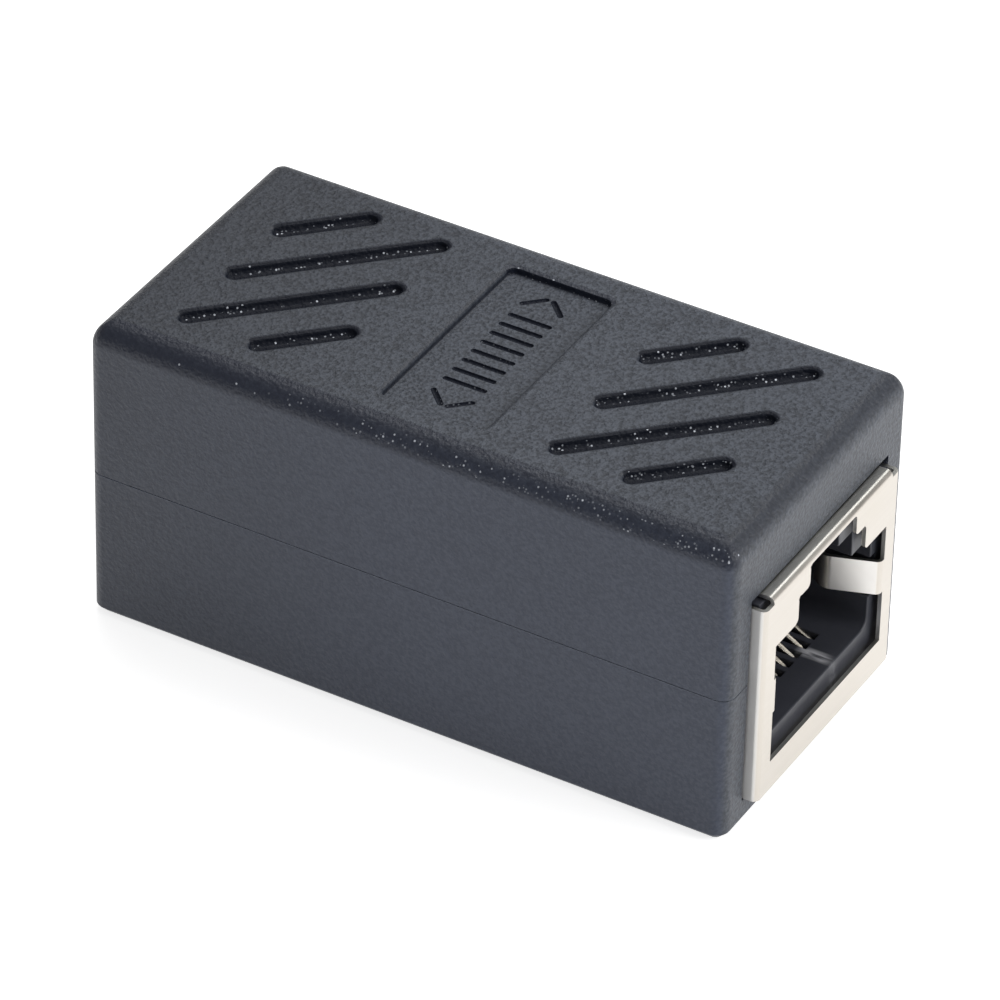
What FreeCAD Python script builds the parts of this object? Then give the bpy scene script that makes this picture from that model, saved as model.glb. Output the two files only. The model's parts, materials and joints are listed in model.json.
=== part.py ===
# Shielded inline coupler for two eight-way modular plugs, in millimetres.
# The object stands on its base with +Z up. The origin is under the middle of the base.
# +X runs along the box towards one socket, and the two ends are the same jack, turned about Z.
# Each jack is drawn in its own frame: x = 0 on the front face of its shield, looking out along +X,
# z = 0 on the surface that the box stands on.
import FreeCAD, Part
import math
import os
import re
import Sketcher

SIZES = {
    # moulded box
    "parting_height": 10.0,
    "side_wall": 1.6,
    "end_wall": 1.8,
    "jack_spacing": 6.74,
    "jack_side_gap": 0.75,
    "board_headroom": 1.46,
    "roof_thickness": 1.6,
    "base_thickness": 1.6,
    "top_edge_radius": 1.5,
    "corner_radius": 0.9,
    "base_edge_chamfer": 0.5,
    "seam_gap": 0.06,
    "lip_height": 1.0,
    "lip_thickness": 0.7,
    "lip_clearance": 0.08,
    # label recess and grip grooves in the top
    "label_length": 6.8,
    "label_width": 14.4,
    "label_depth": 0.45,
    "label_corner": 0.5,
    "groove_width": 1.05,
    "groove_depth": 0.5,
    "groove_pitch": 3.62,
    "grip_distance": 12.14,
    "grip_length": 9.45,
    "grip_width": 15.1,
    # ribs and snap hooks inside the box
    "rib_thickness": 1.2,
    "rib_clearance": 0.05,
    "board_rib_width": 12.0,
    "board_rib_setback": 2.7,
    "side_rib_near": 6.5,
    "side_rib_setback": 4.2,
    "rail_offset": 5.0,
    "hook_width": 4.0,
    "hook_thickness": 1.1,
    "hook_play": 0.1,
    "hook_rise": 3.4,
    "hook_barb": 0.5,
    "hook_barb_height": 1.2,
    # shield of a jack
    "shield_base": 1.86,
    "shield_proud": 0.87,
    "sheet": 0.25,
    "bend_radius": 0.4,
    "window_clearance": 0.12,
    "opening_reveal": 0.6,
    "sill_drop": 1.2,
    "shoulder_rise": 0.44,
    "step_rise": 0.39,
    "step_reveal": 0.45,
    "opening_slot_width": 5.5,
    "corner_gap_width": 0.95,
    "corner_gap_height": 0.45,
    "corner_gap_depth": 3.0,
    "flange_depth": 6.5,
    "spring_base": 5.54,
    "spring_height": 2.3,
    "spring_bend": 0.3,
    "spring_angle": 20.0,
    "spring_crown": 3.1,
    "spring_crown_radius": 0.8,
    "spring_tail": 0.8,
    "spring_return": 35.0,
    "spring_recess_depth": 1.7,
    "solder_pin_width": 1.4,
    "solder_pin_distance": 12.4,
    "cover_gap": 0.15,
    "cover_clearance": 0.05,
    "cover_tab_height": 4.0,
    "cover_tab_length": 2.4,
    # moulded housing of a jack
    "housing_clearance": 0.1,
    "housing_setback": 0.6,
    "housing_rear": 0.66,
    "keyway_depth": 1.4,
    "cavity_depth": 12.6,
    "cavity_width": 12.0,
    "cavity_wall": 1.65,
    "cavity_rear": 1.1,
    "cavity_floor": 3.24,
    "cavity_height": 6.5,
    "cavity_corner": 0.8,
    "latch_width": 7.1,
    "latch_step": 1.8,
    "latch_slot_width": 3.6,
    "latch_slot_height": 1.3,
    "latch_roof": 0.61,
    "latch_rear": 4.1,
    "floor_thickness": 0.9,
    "slot_width": 0.56,
    "comb_thickness": 1.2,
    "comb_gap": 1.4,
    "post_diameter": 3.2,
    "post_spacing": 11.43,
    "post_distance": 8.89,
    # contact wires and the block that guides them
    "contact_pitch": 1.02,
    "wire_width": 0.3,
    "wire_thickness": 0.25,
    "row_margin": 1.2,
    "row_pitch": 2.54,
    "wire_low_height": 1.89,
    "fold_distance": 3.25,
    "fold_radius": 0.55,
    "spring_slope": 31.0,
    "tip_slope": 8.0,
    "tip_length": 2.2,
    "tip_gap": 0.4,
    "wire_clearance": 0.05,
    "carrier_clearance": 0.08,
    "carrier_setback": 0.5,
    "carrier_width": 10.2,
    "carrier_plate": 1.74,
    # circuit board
    "board_thickness": 1.6,
    "board_clearance": 0.08,
    "board_end_gap": 0.1,
    "board_side_gap": 0.2,
    "pin_reach": 1.0,
    "pin_hole": 0.8,
    "notch_clearance": 0.1,
    "post_clearance": 0.1,
}

# Sizes that follow from others: the jack is built out from its cavity, and the box out from the jacks.
DERIVED = {
    "chamber_front": "cavity_depth + cavity_rear",
    "row_distance": "chamber_front + row_margin",
    "slot_front": "fold_distance - fold_radius - wire_thickness / 2 - wire_clearance",
    "carrier_front": "fold_distance + carrier_setback",
    "housing_depth": "row_distance + row_pitch + housing_rear",
    "latch_depth": "cavity_depth - latch_rear",
    "comb_height": "cavity_height - comb_gap",
    "tip_distance": "cavity_depth - tip_gap",
    "knee_distance": "tip_distance - tip_length",
    "shield_depth": "housing_depth + sheet + cover_gap",
    "shield_width": "cavity_width + 2 * (cavity_wall + housing_clearance + sheet)",
    "shield_height": "cavity_floor + cavity_height + latch_step + latch_slot_height + latch_roof"
                     " + housing_clearance + sheet",
    "opening_width": "cavity_width + 2 * opening_reveal",
    "opening_sill": "cavity_floor - sill_drop",
    "opening_shoulder": "cavity_floor + cavity_height + shoulder_rise",
    "opening_step": "cavity_floor + cavity_height + latch_step + step_rise",
    "opening_step_width": "latch_width + 2 * step_reveal",
    "body_length": "2 * (shield_depth - shield_proud) + jack_spacing",
    "body_width": "shield_width + 2 * (jack_side_gap + side_wall)",
    "body_height": "shield_base + shield_height + board_clearance + board_thickness + board_headroom"
                   " + roof_thickness",
    "board_length": "body_length - 2 * (end_wall + board_end_gap)",
    "board_width": "body_width - 2 * (side_wall + board_side_gap)",
    "board_rib_distance": "body_length / 2 - end_wall - board_rib_setback",
    "side_rib_far": "body_length / 2 - end_wall - side_rib_setback",
    "hook_height": "parting_height + hook_rise",
    "post_hole": "post_diameter + 2 * post_clearance",
}
CONTACTS = 8
PIN_HOLE_SIDES = 8
POST_HOLE_SIDES = 16

# Places that several pieces share, written from the sizes above.
SHIELD_TOP = "(shield_base + shield_height)"
BOARD_BASE = f"({SHIELD_TOP} + board_clearance)"
BOARD_TOP = f"({BOARD_BASE} + board_thickness)"
PIN_TOP = f"({BOARD_TOP} + pin_reach)"
FACE = "(body_length / 2 + shield_proud)"
FLANGE_INSIDE = "(shield_width / 2 - sheet)"
HOUSING_HALF = f"({FLANGE_INSIDE} - housing_clearance)"
HOUSING_BASE = "(shield_base + sheet + housing_clearance)"
HOUSING_TOP = f"({SHIELD_TOP} - sheet - housing_clearance)"
CAVITY_FLOOR = "(shield_base + cavity_floor)"
CAVITY_TOP = f"({CAVITY_FLOOR} + cavity_height)"
LATCH_TOP = f"({CAVITY_TOP} + latch_step + latch_slot_height)"
FLOOR_UNDERSIDE = f"({CAVITY_FLOOR} - floor_thickness)"
WIRE_LOW = "(shield_base + wire_low_height)"
BEND_INSIDE = "(bend_radius - sheet)"
COVER_HALF = f"({FLANGE_INSIDE} - cover_clearance)"
COVER_MIDDLE = "(shield_base + shield_height / 2)"
OVERRUN = 1.0   # how far a cutting tool runs past the face that it leaves by
ROOT = 0.1      # how far a rib reaches into the wall that it grows from

doc = FreeCAD.newDocument("inline_coupler")
sheet = doc.addObject("Spreadsheet::Sheet", "Sizes")
for row, (alias, size) in enumerate(SIZES.items(), start=1):
    sheet.set(f"A{row}", alias)
    sheet.set(f"B{row}", str(size))
    sheet.setAlias(f"B{row}", alias)
doc.recompute()


def cells(text):
    """The expression with each size's name turned into its cell of the sheet."""
    return re.sub(r"[a-z_]+", cell, text)


def cell(word):
    """The cell of a size, the expression of a size that follows from others, or the word as it is."""
    name = word[0]
    if name in DERIVED:
        return f"({cells(DERIVED[name])})"
    return f"Sizes.{name}" if name in SIZES else name


def number(text):
    """What an expression comes to now, for a first guess or for choosing an edge."""
    return float(sheet.evalExpression(cells(text)))


def bind(thing, **expressions):
    """Bind properties to the sheet. Two underscores in a name stand for a dot."""
    for name, text in expressions.items():
        thing.setExpression(name.replace("__", "."), cells(text))
    return thing


def mirrored_span(half):
    """A span of the given half width about zero."""
    return (f"-({half})", f"({half})")


def span_about(middle, width):
    """A span of the given width about a place."""
    return (f"{middle} - ({width}) / 2", f"{middle} + ({width}) / 2")


def near(first, second):
    return abs(first - second) < 1e-4


# Primitives and booleans

def box(name, x, y, z):
    """A box between pairs of expressions."""
    thing = doc.addObject("Part::Box", name)
    for side, corner, span in (("Length", "x", x), ("Width", "y", y), ("Height", "z", z)):
        bind(thing, **{side: f"({span[1]}) - ({span[0]})", f"Placement__Base__{corner}": span[0]})
    return thing


def round_hole(name, radius, x, y, z, sides):
    """A tool for an upright hole, with a few flat sides that clear the radius."""
    thing = doc.addObject("Part::Prism", name)
    thing.Polygon = sides
    return bind(thing, Circumradius=f"{radius} / cos(180 / {sides})", Height=f"({z[1]}) - ({z[0]})",
                Placement__Base__x=x, Placement__Base__y=y, Placement__Base__z=z[0])


def trimmed(kind, name, base, size, test):
    """Round or chamfer the edges of a solid that pass a test."""
    doc.recompute()
    thing = doc.addObject(f"Part::{kind}", name)
    thing.Base = base
    thing.Edges = [(count, number(size), number(size))
                   for count, edge in enumerate(base.Shape.Edges, start=1) if test(edge.BoundBox)]
    return thing


def is_upright(bound):
    return near(bound.ZLength, bound.DiagonalLength)


def common(name, base, tool):
    thing = doc.addObject("Part::Common", name)
    thing.Base, thing.Tool = base, tool
    return thing


def fuse(name, pieces):
    thing = doc.addObject("Part::MultiFuse", name)
    thing.Shapes = pieces
    thing.Refine = True
    return thing


def cut(name, base, tools):
    thing = doc.addObject("Part::Cut", name)
    thing.Base = base
    thing.Tool = tools[0] if len(tools) == 1 else fuse(f"{name}_tools", tools)
    thing.Refine = True
    return thing


# Sketches and features of a body

def new_body(name):
    body = doc.addObject("PartDesign::Body", name)
    body.Label = name
    return body


def new_sketch(body, plane, name, offset="0"):
    """A sketch on one of the body's own planes, moved along the plane's normal."""
    sketch = body.newObject("Sketcher::SketchObject", name)
    origin_plane = [item for item in body.Origin.OriginFeatures if item.Role == plane][0]
    sketch.AttachmentSupport = [(origin_plane, "")]
    sketch.MapMode = "FlatFace"
    return bind(sketch, AttachmentOffset__Base__z=offset)


def fix_point(sketch, geometry, position, across, up):
    """Hold a point of the sketch at the place that two expressions give."""
    for kind, text in (("DistanceX", across), ("DistanceY", up)):
        index = sketch.addConstraint(Sketcher.Constraint(kind, -1, 1, geometry, position, number(text)))
        sketch.setExpression(f"Constraints[{index}]", cells(text))


def add_outline(sketch, points):
    """A closed outline of straight edges through points given as pairs of expressions."""
    places = [FreeCAD.Vector(number(across), number(up), 0) for across, up in points]
    first = sketch.GeometryCount
    total = len(points)
    for step in range(total):
        sketch.addGeometry(Part.LineSegment(places[step], places[(step + 1) % total]))
    for step in range(total):
        following = first + (step + 1) % total
        sketch.addConstraint(Sketcher.Constraint("Coincident", first + step, 2, following, 1))
        fix_point(sketch, first + step, 1, *points[step])


def add_circle(sketch, across, up, radius):
    centre = FreeCAD.Vector(number(across), number(up), 0)
    index = sketch.addGeometry(Part.Circle(centre, FreeCAD.Vector(0, 0, 1), number(radius)))
    fix_point(sketch, index, 3, across, up)
    limit = sketch.addConstraint(Sketcher.Constraint("Radius", index, number(radius)))
    sketch.setExpression(f"Constraints[{limit}]", cells(radius))


def add_bent_path(sketch, corners, radii):
    """Straight runs through corners given as pairs of expressions, with a tangent arc at each inner corner.
    A corner without a radius stays square."""
    places = [FreeCAD.Vector(number(across), number(up), 0) for across, up in corners]
    start, lines, bends = places[0], [], []
    for before, corner, after, radius in zip(places, places[1:], places[2:], radii):
        if radius:
            arc, first, last, turns_left = corner_arc(before, corner, after, number(radius))
            lines.append(sketch.addGeometry(Part.LineSegment(start, first)))
            bends.append((sketch.addGeometry(arc), turns_left, radius))
            start = last
        else:
            lines.append(sketch.addGeometry(Part.LineSegment(start, corner)))
            bends.append(None)
            start = corner
    lines.append(sketch.addGeometry(Part.LineSegment(start, places[-1])))
    fix_point(sketch, lines[0], 1, *corners[0])
    fix_point(sketch, lines[-1], 2, *corners[-1])
    for step, bend in enumerate(bends):
        if bend is None:
            sketch.addConstraint(Sketcher.Constraint("Coincident", lines[step], 2, lines[step + 1], 1))
            fix_point(sketch, lines[step], 2, *corners[step + 1])
            continue
        arc, turns_left, radius = bend
        entry, leaving = (1, 2) if turns_left else (2, 1)
        sketch.addConstraint(Sketcher.Constraint("Tangent", lines[step], 2, arc, entry))
        sketch.addConstraint(Sketcher.Constraint("Tangent", arc, leaving, lines[step + 1], 1))
        limit = sketch.addConstraint(Sketcher.Constraint("Radius", arc, number(radius)))
        sketch.setExpression(f"Constraints[{limit}]", cells(radius))
        corner = sketch.addGeometry(Part.Point(places[step + 1]), True)
        fix_point(sketch, corner, 1, *corners[step + 1])
        for line in (lines[step], lines[step + 1]):
            sketch.addConstraint(Sketcher.Constraint("PointOnObject", corner, 1, line))


def corner_arc(before, corner, after, radius):
    """The arc that rounds a corner, the points where it meets the two runs, and whether it turns left."""
    arriving, leaving = (corner - before).normalize(), (after - corner).normalize()
    reach = radius * math.tan(arriving.getAngle(leaving) / 2)
    first, last = corner - arriving * reach, corner + leaving * reach
    turns_left = arriving.cross(leaving).z > 0
    aside = FreeCAD.Vector(-arriving.y, arriving.x, 0) * (radius if turns_left else -radius)
    centre = first + aside
    ends = [math.atan2(point.y - centre.y, point.x - centre.x) for point in (first, last)]
    start_angle, end_angle = ends if turns_left else reversed(ends)
    if end_angle < start_angle:
        end_angle += 2 * math.pi
    circle = Part.Circle(centre, FreeCAD.Vector(0, 0, 1), radius)
    return Part.ArcOfCircle(circle, start_angle, end_angle), first, last, turns_left


def rectangle(across, up):
    return [(across[0], up[0]), (across[1], up[0]), (across[1], up[1]), (across[0], up[1])]


def stepped_outline(sill, levels):
    """An outline that narrows upwards. Each level is a half width and the height of its top."""
    right = [(levels[0][0], sill)]
    for half, top in levels:
        if right[-1][0] != half:
            right.append((half, right[-1][1]))
        right.append((half, top))
    return right + [(f"-({half})", up) for half, up in reversed(right)]


def pad(body, sketch, length, back=False):
    thing = body.newObject("PartDesign::Pad", f"{sketch.Name}_pad")
    thing.Profile = sketch
    thing.Reversed = back
    return bind(thing, Length=length)


def pocket(body, sketch, length, forward=False):
    thing = body.newObject("PartDesign::Pocket", f"{sketch.Name}_pocket")
    thing.Profile = sketch
    thing.Reversed = forward
    return bind(thing, Length=length)


def edges_where(shape, test):
    return [f"Edge{count}" for count, edge in enumerate(shape.Edges, start=1) if test(edge.BoundBox)]


def round_edges(body, radius, test):
    doc.recompute()
    base = body.Tip
    thing = body.newObject("PartDesign::Fillet", f"{body.Name}_rounding")
    thing.Base = (base, edges_where(base.Shape, test))
    return bind(thing, Radius=radius)


# The two shells

def build_shells():
    outside = outer_form()
    space = box("inner_space", mirrored_span("body_length / 2 - end_wall"),
                mirrored_span("body_width / 2 - side_wall"),
                ("base_thickness", "body_height - roof_thickness"))
    window = box("jack_windows", mirrored_span(FACE), mirrored_span("shield_width / 2 + window_clearance"),
                 ("shield_base - window_clearance", f"{SHIELD_TOP} + window_clearance"))
    build_bottom_shell(outside, space, window)
    build_top_shell(outside, space, window)


def outer_form():
    """The closed box: large radii round the roof, tighter upright corners, a chamfer round the base."""
    block = box("outside_block", mirrored_span("body_length / 2"), mirrored_span("body_width / 2"),
                ("0", "body_height"))
    top = number("body_height")
    roof = trimmed("Fillet", "outside_roof", block, "top_edge_radius", lambda bound: near(bound.ZMin, top))
    corners = trimmed("Fillet", "outside_corners", roof, "corner_radius", is_upright)
    return trimmed("Chamfer", "outside", corners, "base_edge_chamfer", lambda bound: near(bound.ZMax, 0))


def half_of(name, outside, z):
    block = box(f"{name}_half", mirrored_span("body_length"), mirrored_span("body_width"), z)
    return common(f"{name}_outside", outside, block)


def lip_block(name, clearance, z):
    return box(name, mirrored_span(f"body_length / 2 - end_wall + lip_thickness + {clearance}"),
               mirrored_span(f"body_width / 2 - side_wall + lip_thickness + {clearance}"), z)


def build_bottom_shell(outside, space, window):
    half = half_of("bottom", outside, ("0", "parting_height"))
    lip = lip_block("lip", "0", ("parting_height - lip_height", "parting_height + lip_height"))
    walls = cut("bottom_walls", fuse("bottom_block", [half, lip]), [space, window])
    inside = "body_width / 2 - side_wall"
    rib_foot = f"base_thickness - {ROOT}"
    pieces = [walls]
    for side in (-1, 1):
        pieces.append(box("rail", mirrored_span(f"body_length / 2 - end_wall + {ROOT}"),
                          span_about(f"{side} * rail_offset", "rib_thickness"),
                          (rib_foot, "shield_base - rib_clearance")))
        for distance in ("side_rib_near", "side_rib_far"):
            for end in (-1, 1):
                across = ordered(side, "shield_width / 2 + rib_clearance", f"{inside} + {ROOT}")
                pieces.append(box("side_rib", span_about(f"{end} * {distance}", "rib_thickness"), across,
                                  (rib_foot, "parting_height - rib_thickness")))
        root = f"{inside} - hook_play - hook_thickness"
        beam = ordered(side, root, f"{inside} - hook_play")
        barb = ordered(side, root, f"{inside} - hook_play + hook_barb")
        pieces.append(box("hook_beam", mirrored_span("hook_width / 2"), beam, (rib_foot, "hook_height")))
        pieces.append(box("hook_barb", mirrored_span("hook_width / 2"), barb,
                          ("hook_height - hook_barb_height", "hook_height - hook_barb_height / 4")))
    shell = fuse("bottom_shell_solid", pieces)
    shell.Label = "bottom_shell"


def ordered(side, low, high):
    """A span across the box, on the side of +Y or -Y."""
    return (low, high) if side > 0 else (f"-({high})", f"-({low})")


def label_recess():
    block = box("label_block", mirrored_span("label_length / 2"), mirrored_span("label_width / 2"),
                ("body_height - label_depth", f"body_height + {OVERRUN}"))
    return trimmed("Fillet", "label_recess", block, "label_corner", is_upright)


def grip_groove(end, line):
    """One round-bottomed groove at 45 degrees, as long as the rectangle that the group fills."""
    shift = f"({line} * groove_pitch * sqrt(2))"
    low = f"max(-grip_length / 2; -grip_width / 2 - {shift})"
    high = f"min(grip_length / 2; grip_width / 2 - {shift})"
    radius = "((groove_width ^ 2 / 4 + groove_depth ^ 2) / (2 * groove_depth))"
    rod = doc.addObject("Part::Cylinder", "grip_groove")
    rod.Placement.Rotation = FreeCAD.Rotation(FreeCAD.Vector(0, 0, 1), FreeCAD.Vector(1, 1, 0))
    return bind(rod, Radius=radius, Height=f"({high} - {low}) * sqrt(2)",
                Placement__Base__x=f"{end} * grip_distance + {low}", Placement__Base__y=f"{low} + {shift}",
                Placement__Base__z=f"body_height - groove_depth + {radius}")


def build_top_shell(outside, space, window):
    half = half_of("top", outside, ("parting_height + seam_gap", "body_height"))
    rebate = lip_block("lip_rebate", "lip_clearance",
                       ("parting_height", "parting_height + lip_height + lip_clearance"))
    grooves = [grip_groove(end, line) for end in (-1, 1) for line in (-1.5, -0.5, 0.5, 1.5)]
    inside = "body_width / 2 - side_wall"
    catches = []
    for side in (-1, 1):
        catches.append(box("hook_catch", mirrored_span("hook_width / 2 + lip_clearance"),
                           ordered(side, f"{inside} - hook_play", f"{inside} + hook_barb"),
                           ("hook_height - hook_barb_height - lip_clearance", "hook_height")))
    walls = cut("top_walls", half, [space, window, rebate, label_recess()] + grooves + catches)
    pieces = [walls]
    for distance in ("-(board_rib_distance)", "0", "board_rib_distance"):
        pieces.append(box("board_rib", span_about(distance, "rib_thickness"),
                          mirrored_span("board_rib_width / 2"),
                          (f"{BOARD_TOP} + rib_clearance", f"body_height - roof_thickness + {ROOT}")))
    shell = fuse("top_shell_solid", pieces)
    shell.Label = "top_shell"


# One jack, drawn in its own frame and placed in each end of the box

def settle(piece, side, offset="0"):
    """Put a piece of a jack in its end of the box. offset moves it across the jack."""
    turned = side == "left"
    piece.Placement.Rotation = FreeCAD.Rotation(FreeCAD.Vector(0, 0, 1), 180 if turned else 0)
    sign = "-1" if turned else "1"
    return bind(piece, Placement__Base__x=f"{sign} * {FACE}", Placement__Base__y=f"{sign} * ({offset})")


def build_shield(side):
    """One folded sheet: a face with the stepped opening, a top flange, two sides, springs and pins."""
    body = new_body(f"{side}_shield")
    half = "shield_width / 2"
    face = new_sketch(body, "YZ_Plane", f"{side}_shield_face")
    add_outline(face, rectangle(mirrored_span(half), ("shield_base", SHIELD_TOP)))
    pad(body, face, "shield_depth", back=True)
    round_edges(body, "bend_radius", shield_bends(0))
    hollow = new_sketch(body, "YZ_Plane", f"{side}_shield_hollow", "-sheet")
    add_outline(hollow, rectangle(mirrored_span(FLANGE_INSIDE), (f"shield_base - {OVERRUN}",
                                                                 f"{SHIELD_TOP} - sheet")))
    pocket(body, hollow, "shield_depth")
    round_edges(body, BEND_INSIDE, shield_bends(number("sheet")))

    opening = new_sketch(body, "YZ_Plane", f"{side}_shield_opening")
    add_outline(opening, stepped_outline("shield_base + opening_sill", [
        ("opening_width / 2", "shield_base + opening_shoulder"),
        ("opening_step_width / 2", "shield_base + opening_step"),
        ("opening_slot_width / 2", f"{SHIELD_TOP} - sheet - {BEND_INSIDE}")]))
    pocket(body, opening, f"sheet + {BEND_INSIDE}")

    gaps = new_sketch(body, "YZ_Plane", f"{side}_shield_corner_gaps")
    for sign in (-1, 1):
        across = (f"{sign} * ({half} - corner_gap_width)", f"{sign} * ({half} + {OVERRUN})")
        up = (f"{SHIELD_TOP} - corner_gap_height", f"{SHIELD_TOP} + {OVERRUN}")
        add_outline(gaps, rectangle(across, up))
    pocket(body, gaps, "corner_gap_depth")

    roof = new_sketch(body, "XY_Plane", f"{side}_shield_roof_end", f"{SHIELD_TOP} + {OVERRUN}")
    add_outline(roof, rectangle((f"-shield_depth - {OVERRUN}", "-flange_depth"),
                                mirrored_span(f"{half} + {OVERRUN}")))
    pocket(body, roof, f"{OVERRUN} + bend_radius")

    add_ground_springs(body, side)
    pins = new_sketch(body, "XY_Plane", f"{side}_shield_pins", f"{SHIELD_TOP} - 2 * bend_radius")
    for sign in (-1, 1):
        add_outline(pins, rectangle(span_about("-solder_pin_distance", "solder_pin_width"),
                                    (f"{sign} * {FLANGE_INSIDE}", f"{sign} * {half}")))
    pad(body, pins, f"{PIN_TOP} - ({SHIELD_TOP} - 2 * bend_radius)")
    return settle(body, side)


def shield_bends(inset):
    """A test for the folded edges of the shield's outer skin, or of the skin that lies inset from it."""
    top, across = number(SHIELD_TOP) - inset, number("shield_width / 2") - inset

    def is_bend(bound):
        on_face = near(bound.XMin, -inset) and near(bound.XMax, -inset)
        on_top = near(bound.ZMin, top) and near(bound.ZMax, top)
        on_side = near(abs(bound.YMin), across) and near(bound.YMin, bound.YMax)
        return on_face + on_top + on_side == 2

    return is_bend


def add_ground_springs(body, side):
    """Two strips bent from the opening's sides: inwards to a crown, then back out."""
    crown_across = "-spring_crown"
    crown_up = "(opening_width / 2 - spring_bend - (spring_crown - sheet / 2) * tan(spring_angle))"
    corners = [("-sheet / 2", "opening_width / 2 + sheet / 2"),
               ("-sheet / 2", "opening_width / 2 - spring_bend"),
               (crown_across, crown_up),
               ("-spring_crown - spring_tail", f"{crown_up} + spring_tail * tan(spring_return)")]
    heights = ("shield_base + spring_base", "shield_base + spring_base + spring_height")
    for sign in (-1, 1):
        section = new_sketch(body, "XZ_Plane", f"{side}_spring_section", f"{-sign} * ({corners[0][1]})")
        add_outline(section, rectangle(("-sheet", "0"), heights))
        path = new_sketch(body, "XY_Plane", f"{side}_spring_path", "shield_base + spring_base")
        add_bent_path(path, [(across, f"{sign} * ({up})") for across, up in corners],
                      ["bend_radius - sheet / 2", "spring_crown_radius"])
        strip = body.newObject("PartDesign::AdditivePipe", f"{side}_spring")
        strip.Profile = section
        strip.Spine = path


def build_rear_cover(side):
    """The sheet that closes the underside and the back, with a tab against each side flange."""
    body = new_body(f"{side}_rear_cover")
    front, back = "-housing_setback - sheet", "-shield_depth"
    top = f"({SHIELD_TOP} - bend_radius)"
    section = new_sketch(body, "XZ_Plane", f"{side}_cover_section", f"-{COVER_HALF}")
    add_outline(section, [(front, "shield_base"), (back, "shield_base"), (back, top),
                          (f"{back} + sheet", top), (f"{back} + sheet", "shield_base + sheet"),
                          (front, "shield_base + sheet")])
    pad(body, section, f"2 * {COVER_HALF}")
    corner_x, corner_z, gauge = number(back), number("shield_base"), number("sheet")

    def is_bend(bound, inset):
        return near(bound.XMin, corner_x + inset) and near(bound.ZMin, corner_z + inset) and bound.YLength > 1

    round_edges(body, "bend_radius", lambda bound: is_bend(bound, 0))
    round_edges(body, BEND_INSIDE, lambda bound: is_bend(bound, gauge))
    tabs = new_sketch(body, "YZ_Plane", f"{side}_cover_tabs", f"{back} + sheet / 2")
    for sign in (-1, 1):
        add_outline(tabs, rectangle((f"{sign} * ({COVER_HALF} - sheet)", f"{sign} * {COVER_HALF}"),
                                    span_about(COVER_MIDDLE, "cover_tab_height")))
    pad(body, tabs, "cover_tab_length")
    return settle(body, side)


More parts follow.
